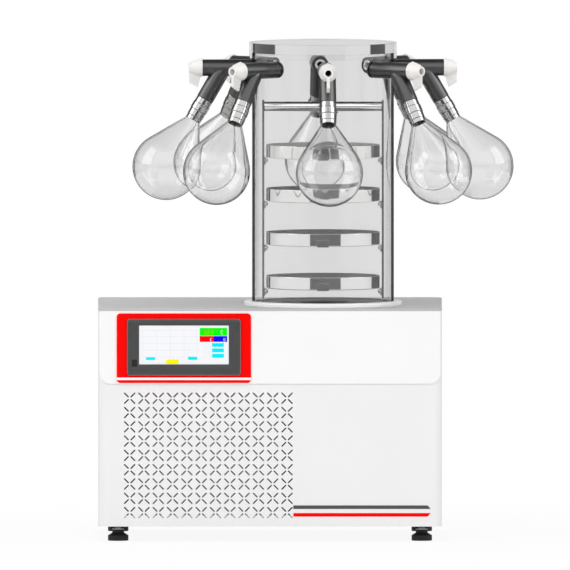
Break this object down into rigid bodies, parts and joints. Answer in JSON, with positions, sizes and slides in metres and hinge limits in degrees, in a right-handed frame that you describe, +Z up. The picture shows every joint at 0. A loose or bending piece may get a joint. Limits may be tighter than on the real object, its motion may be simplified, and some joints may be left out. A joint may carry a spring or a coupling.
{
  "type": "freeze dryer",
  "caption": "Bench freeze dryer: a steel cabinet with a touch panel, a clear drum with steel trays over a cold trap, and flask valves round the drum's top.",
  "frame": {"origin": "middle of the whole object's outline on the surface that its feet stand on; the drum's axis is at y 0", "axes": "+Z up, -Y towards the operator's side, with the panel and the air slots"},
  "size_m": [0.743, 0.6814, 0.887],
  "materials": {
    "cabinet_white": "semi-gloss powder coat",
    "fascia_white": "smooth moulded",
    "cover_grey": "satin powder coat",
    "pan_steel": "zinc plated",
    "trim_red": "gloss film",
    "trim_dark": "satin film",
    "bezel_grey": "fine textured",
    "screen_white": "lit display under cover glass",
    "foot_black": "moulded",
    "fitting_steel": "blackened",
    "pot_steel": "drawn stainless",
    "foam_black": "closed-cell foam",
    "ring_white": "moulded",
    "baffle_dark": "satin",
    "clear_acrylic": "polished clear",
    "rack_steel": "polished stainless",
    "tray_steel": "polished stainless",
    "valve_rubber": "moulded",
    "plug_white": "moulded",
    "coupling_chrome": "plated",
    "flask_glass": "clear blown",
    "fin_aluminium": "plain fin stock",
    "shroud_steel": "black coated",
    "fan_black": "moulded",
    "compressor_black": "gloss black",
    "port_steel": "turned stainless",
    "valve_brass": "nickel-free brass",
    "lever_red": "dipped handle",
    "inlet_black": "moulded"
  },
  "bodies": {
    "dryer": {"baffle_plate": "baffle_dark", "base_pan": "pan_steel", "base_ring": "ring_white", "compressor": "compressor_black", "condenser": "fin_aluminium", "drain_valve": "valve_brass", "drum": "clear_acrylic", "drum_lid": "clear_acrylic", "fan_shroud": "shroud_steel", "fascia": "fascia_white", "flask_1": "flask_glass", "flask_2": "flask_glass", "flask_3": "flask_glass", "flask_4": "flask_glass", "flask_5": "flask_glass", "flask_6": "flask_glass", "flask_7": "flask_glass", "flask_8": "flask_glass", "flask_couplings": "coupling_chrome", "foam_base": "foam_black", "foam_jacket": "foam_black", "foot_fittings": "fitting_steel", "hmi_bezel": "bezel_grey", "hmi_screen": "screen_white", "hmi_surround": "trim_red", "power_inlet": "inlet_black", "rack_handle": "rack_steel", "rack_left": "rack_steel", "rack_right": "rack_steel", "rear_panel": "cabinet_white", "stripe_dark": "trim_dark", "stripe_red": "trim_red", "top_cover": "cover_grey", "trap_floor": "pot_steel", "trap_port_wall": "pot_steel", "trap_wall": "pot_steel", "tray_1": "tray_steel", "tray_2": "tray_steel", "tray_3": "tray_steel", "tray_4": "tray_steel", "vacuum_port": "port_steel", "valve_bodies": "valve_rubber", "wrap_panel": "cabinet_white"},
    "foot_1": {"foot_1": "foot_black"},
    "foot_2": {"foot_2": "foot_black"},
    "foot_3": {"foot_3": "foot_black"},
    "foot_4": {"foot_4": "foot_black"},
    "valve_plug_1": {"valve_plug_1": "plug_white"},
    "valve_plug_2": {"valve_plug_2": "plug_white"},
    "valve_plug_3": {"valve_plug_3": "plug_white"},
    "valve_plug_4": {"valve_plug_4": "plug_white"},
    "valve_plug_5": {"valve_plug_5": "plug_white"},
    "valve_plug_6": {"valve_plug_6": "plug_white"},
    "valve_plug_7": {"valve_plug_7": "plug_white"},
    "valve_plug_8": {"valve_plug_8": "plug_white"},
    "fan_rotor": {"fan_rotor": "fan_black"},
    "drain_lever": {"drain_lever": "lever_red"},
    "power_rocker": {"power_rocker": "inlet_black"}
  },
  "joints": [
    {"name": "valve_plug_1_turn", "type": "hinge", "parent": "dryer", "child": "valve_plug_1", "pos_m": [0.03077, 0, 0.8415], "axis": [0.041, -0.9992, 0], "range_deg": [0, 180]},
    {"name": "valve_plug_2_turn", "type": "hinge", "parent": "dryer", "child": "valve_plug_2", "pos_m": [0.03077, 0, 0.8415], "axis": [0.7355, -0.6775, 0], "range_deg": [0, 180]},
    {"name": "valve_plug_3_turn", "type": "hinge", "parent": "dryer", "child": "valve_plug_3", "pos_m": [0.03077, 0, 0.8415], "axis": [0.9992, 0.041, 0], "range_deg": [0, 180]},
    {"name": "valve_plug_4_turn", "type": "hinge", "parent": "dryer", "child": "valve_plug_4", "pos_m": [0.03077, 0, 0.8415], "axis": [0.6775, 0.7355, 0], "range_deg": [0, 180]},
    {"name": "valve_plug_5_turn", "type": "hinge", "parent": "dryer", "child": "valve_plug_5", "pos_m": [0.03077, 0, 0.8415], "axis": [-0.041, 0.9992, 0], "range_deg": [0, 180]},
    {"name": "valve_plug_6_turn", "type": "hinge", "parent": "dryer", "child": "valve_plug_6", "pos_m": [0.03077, 0, 0.8415], "axis": [-0.7355, 0.6775, 0], "range_deg": [0, 180]},
    {"name": "valve_plug_7_turn", "type": "hinge", "parent": "dryer", "child": "valve_plug_7", "pos_m": [0.03077, 0, 0.8415], "axis": [-0.9992, -0.041, 0], "range_deg": [0, 180]},
    {"name": "valve_plug_8_turn", "type": "hinge", "parent": "dryer", "child": "valve_plug_8", "pos_m": [0.03077, 0, 0.8415], "axis": [-0.6775, -0.7355, 0], "range_deg": [0, 180]},
    {"name": "foot_1_screw", "type": "slide", "parent": "dryer", "child": "foot_1", "axis": [0, 0, -1], "range_m": [0, 0.012]},
    {"name": "foot_2_screw", "type": "slide", "parent": "dryer", "child": "foot_2", "axis": [0, 0, -1], "range_m": [0, 0.012]},
    {"name": "foot_3_screw", "type": "slide", "parent": "dryer", "child": "foot_3", "axis": [0, 0, -1], "range_m": [0, 0.012]},
    {"name": "foot_4_screw", "type": "slide", "parent": "dryer", "child": "foot_4", "axis": [0, 0, -1], "range_m": [0, 0.012]},
    {"name": "fan_spin", "type": "hinge", "parent": "dryer", "child": "fan_rotor", "pos_m": [-0.17303, -0.088, 0.1475], "axis": [0, 1, 0], "continuous": true},
    {"name": "drain_lever_turn", "type": "hinge", "parent": "dryer", "child": "drain_lever", "pos_m": [0.03077, 0.309, 0.2315], "axis": [0, 0, 1], "range_deg": [0, 90]},
    {"name": "power_rocker_tilt", "type": "hinge", "parent": "dryer", "child": "power_rocker", "pos_m": [0.12347, 0.293, 0.13076], "axis": [-1, 0, 0], "range_deg": [0, 14]}
  ]
}
